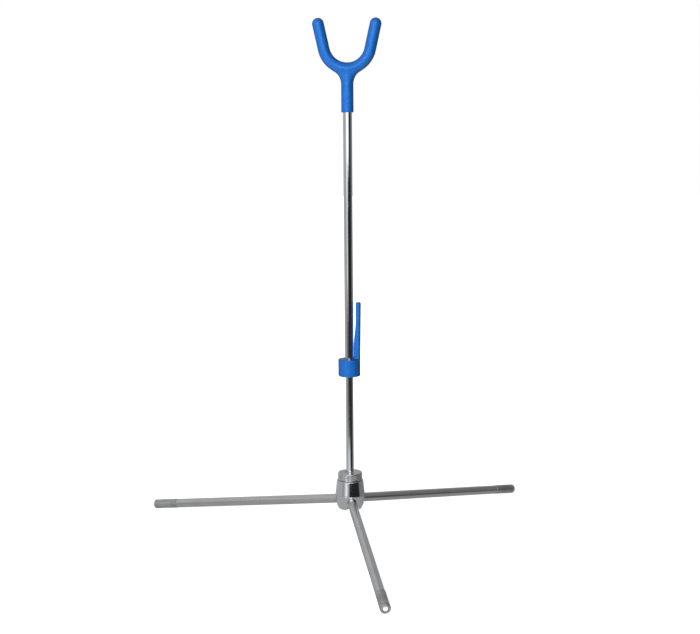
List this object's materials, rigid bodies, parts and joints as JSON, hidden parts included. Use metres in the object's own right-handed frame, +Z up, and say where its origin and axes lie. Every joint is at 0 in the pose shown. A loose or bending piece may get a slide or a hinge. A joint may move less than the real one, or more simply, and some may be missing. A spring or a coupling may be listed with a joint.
{
  "type": "archery bow stand",
  "caption": "Folding bow stand: telescopic chrome pole on a slotted hub with hinged legs, a U-shaped fork for the bow and a hook collar for its string.",
  "frame": {"origin": "middle of the stand's footprint, on the surface that it stands on", "axes": "+Z up along the pole; -Y towards the front leg; +X to the side of the right-hand leg"},
  "size_m": [0.5806, 0.5038, 0.7399],
  "materials": {
    "chrome": "bright polished plating",
    "knurled_chrome": "knurled plating",
    "leg_steel": "satin plated tube",
    "ferrule_steel": "dull turned steel",
    "blue_plastic": "moulded, half gloss",
    "nylon": "natural, matt"
  },
  "bodies": {
    "base": {"hub_body": "chrome", "pole_foot": "knurled_chrome", "lower_rod": "chrome", "rod_glide_cap": "nylon", "leg_pin_front": "chrome", "leg_pin_right": "chrome", "leg_pin_left": "chrome"},
    "leg_front": {"leg_knuckle_front": "leg_steel", "leg_tube_front": "leg_steel", "leg_ferrule_front": "ferrule_steel", "leg_button_front": "chrome"},
    "leg_right": {"leg_knuckle_right": "leg_steel", "leg_tube_right": "leg_steel", "leg_ferrule_right": "ferrule_steel", "leg_button_right": "chrome"},
    "leg_left": {"leg_knuckle_left": "leg_steel", "leg_tube_left": "leg_steel", "leg_ferrule_left": "ferrule_steel", "leg_button_left": "chrome"},
    "grip": {"grip_bush": "nylon"},
    "head": {"hook_collar": "blue_plastic", "upper_tube": "chrome", "fork": "blue_plastic"}
  },
  "joints": [
    {"name": "height_slide", "type": "slide", "parent": "base", "child": "grip", "axis": [0, 0, 1], "range_m": [-0.1427, 0.1]},
    {"name": "head_swivel", "type": "hinge", "parent": "grip", "child": "head", "pos_m": [0, 0.08003, 0.237], "axis": [0, 0, 1], "continuous": true},
    {"name": "leg_fold_front", "type": "hinge", "parent": "base", "child": "leg_front", "pos_m": [0, 0.06653, 0.04929], "axis": [1, 0, 0], "range_deg": [0, 82.3]},
    {"name": "leg_fold_right", "type": "hinge", "parent": "base", "child": "leg_right", "pos_m": [0.01169, 0.08678, 0.04929], "axis": [-0.5, 0.866, 0], "range_deg": [0, 82.3]},
    {"name": "leg_fold_left", "type": "hinge", "parent": "base", "child": "leg_left", "pos_m": [-0.01169, 0.08678, 0.04929], "axis": [-0.5, -0.866, 0], "range_deg": [0, 82.3]}
  ]
}
